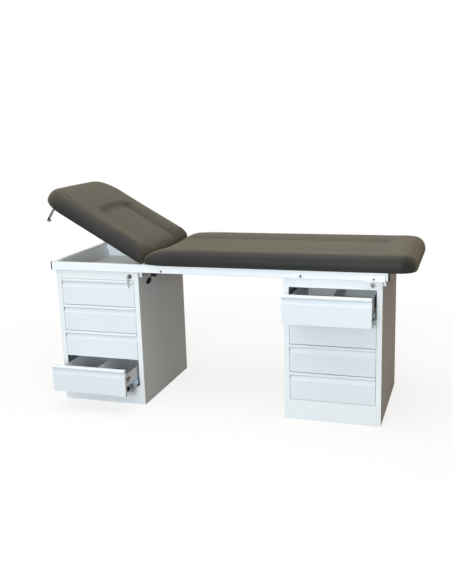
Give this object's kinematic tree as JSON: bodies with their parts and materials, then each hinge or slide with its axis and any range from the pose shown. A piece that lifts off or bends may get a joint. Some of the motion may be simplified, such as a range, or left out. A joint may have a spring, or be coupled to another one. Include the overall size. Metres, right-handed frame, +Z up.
{
  "type": "examination couch with cabinets",
  "caption": "Clinic couch: a vinyl pad with a tilting headrest on a tube frame, carried by two steel cabinets of lockable drawers with rolled pulls.",
  "frame": {"origin": "on the floor, under the middle of the couch's bounding box as it stands in the picture", "axes": "+X along the couch from its headrest to its foot end, +Y from the drawer fronts to the back, +Z up"},
  "size_m": [1.7924, 0.7524, 1.0621],
  "materials": {
    "rail_white": "satin",
    "cap_plastic": "satin",
    "cabinet_white": "satin",
    "front_white": "satin",
    "box_grey": "satin",
    "zinc": "satin",
    "chrome": "polished",
    "lock_nickel": "satin",
    "black_steel": "satin",
    "vinyl": "satin",
    "plywood": "matte"
  },
  "bodies": {
    "frame": {"front_rail": "rail_white", "rear_rail": "rail_white", "head_cross_rail": "rail_white", "foot_cross_rail": "rail_white", "seat_cross_rail": "rail_white", "front_rail_head_cap": "cap_plastic", "front_rail_foot_cap": "cap_plastic", "rear_rail_head_cap": "cap_plastic", "rear_rail_foot_cap": "cap_plastic", "accessory_plate": "rail_white", "seat_board": "plywood", "seat_pad": "vinyl", "hinge_seat_leaf": "zinc", "hinge_pin": "chrome", "gas_spring_cylinder": "black_steel", "gas_spring_bracket": "black_steel", "lever_bracket": "black_steel", "left_cabinet_shell": "cabinet_white", "left_cabinet_left_runners": "zinc", "left_cabinet_right_runners": "zinc", "left_cabinet_front_bracket": "cabinet_white", "left_cabinet_rear_bracket": "cabinet_white", "left_lock_barrel": "lock_nickel", "right_cabinet_shell": "cabinet_white", "right_cabinet_left_runners": "zinc", "right_cabinet_right_runners": "zinc", "right_cabinet_front_bracket": "cabinet_white", "right_cabinet_rear_bracket": "cabinet_white", "right_lock_barrel": "lock_nickel"},
    "headrest": {"headrest_board": "plywood", "headrest_pad": "vinyl", "hinge_headrest_leaf": "zinc", "gas_spring_crank": "black_steel", "front_roll_arm": "chrome", "rear_roll_arm": "chrome"},
    "gas_rod": {"gas_spring_rod": "chrome"},
    "lever": {"release_lever": "black_steel", "lever_grip": "cap_plastic"},
    "left_lock": {"left_lock_plug": "lock_nickel", "left_key": "lock_nickel"},
    "left_drawer_1": {"left_drawer_1_front": "front_white", "left_drawer_1_box": "box_grey"},
    "left_drawer_2": {"left_drawer_2_front": "front_white", "left_drawer_2_box": "box_grey"},
    "left_drawer_3": {"left_drawer_3_front": "front_white", "left_drawer_3_box": "box_grey"},
    "left_drawer_4": {"left_drawer_4_front": "front_white", "left_drawer_4_box": "box_grey"},
    "right_lock": {"right_lock_plug": "lock_nickel"},
    "right_drawer_1": {"right_drawer_1_front": "front_white", "right_drawer_1_box": "box_grey"},
    "right_drawer_2": {"right_drawer_2_front": "front_white", "right_drawer_2_box": "box_grey"},
    "right_drawer_3": {"right_drawer_3_front": "front_white", "right_drawer_3_box": "box_grey"},
    "right_drawer_4": {"right_drawer_4_front": "front_white", "right_drawer_4_box": "box_grey"}
  },
  "joints": [
    {"name": "headrest_tilt", "type": "hinge", "parent": "frame", "child": "headrest", "pos_m": [-0.36377, 0.06825, 0.7293], "axis": [0, 1, 0], "range_deg": [-30, 15]},
    {"name": "gas_rod_slide", "type": "slide", "parent": "frame", "child": "gas_rod", "axis": [1, 0, 0], "range_m": [-0.01225, 0.02449]},
    {"name": "release_lever_turn", "type": "hinge", "parent": "frame", "child": "lever", "pos_m": [-0.32327, -0.21645, 0.6603], "axis": [0, 1, 0], "range_deg": [0, 25], "stiffness_Nm_per_rad": 0.4, "springref_deg": -11.46},
    {"name": "left_lock_turn", "type": "hinge", "parent": "frame", "child": "left_lock", "pos_m": [-0.43977, -0.21325, 0.65], "axis": [0, 1, 0], "range_deg": [0, 90]},
    {"name": "left_drawer_1_slide", "type": "slide", "parent": "frame", "child": "left_drawer_1", "axis": [0, -1, 0], "range_m": [0, 0.4]},
    {"name": "left_drawer_2_slide", "type": "slide", "parent": "frame", "child": "left_drawer_2", "axis": [0, -1, 0], "range_m": [0, 0.4]},
    {"name": "left_drawer_3_slide", "type": "slide", "parent": "frame", "child": "left_drawer_3", "axis": [0, -1, 0], "range_m": [0, 0.4]},
    {"name": "left_drawer_4_slide", "type": "slide", "parent": "frame", "child": "left_drawer_4", "axis": [0, -1, 0], "range_m": [-0.158, 0.242]},
    {"name": "right_lock_turn", "type": "hinge", "parent": "frame", "child": "right_lock", "pos_m": [0.71023, -0.21325, 0.65], "axis": [0, 1, 0], "range_deg": [0, 90]},
    {"name": "right_drawer_1_slide", "type": "slide", "parent": "frame", "child": "right_drawer_1", "axis": [0, -1, 0], "range_m": [-0.152, 0.248]},
    {"name": "right_drawer_2_slide", "type": "slide", "parent": "frame", "child": "right_drawer_2", "axis": [0, -1, 0], "range_m": [0, 0.4]},
    {"name": "right_drawer_3_slide", "type": "slide", "parent": "frame", "child": "right_drawer_3", "axis": [0, -1, 0], "range_m": [0, 0.4]},
    {"name": "right_drawer_4_slide", "type": "slide", "parent": "frame", "child": "right_drawer_4", "axis": [0, -1, 0], "range_m": [0, 0.4]}
  ],
  "couplings": [
    {"joint": "gas_rod_slide", "follows": "headrest_tilt", "m_per_rad": -0.046776}
  ]
}
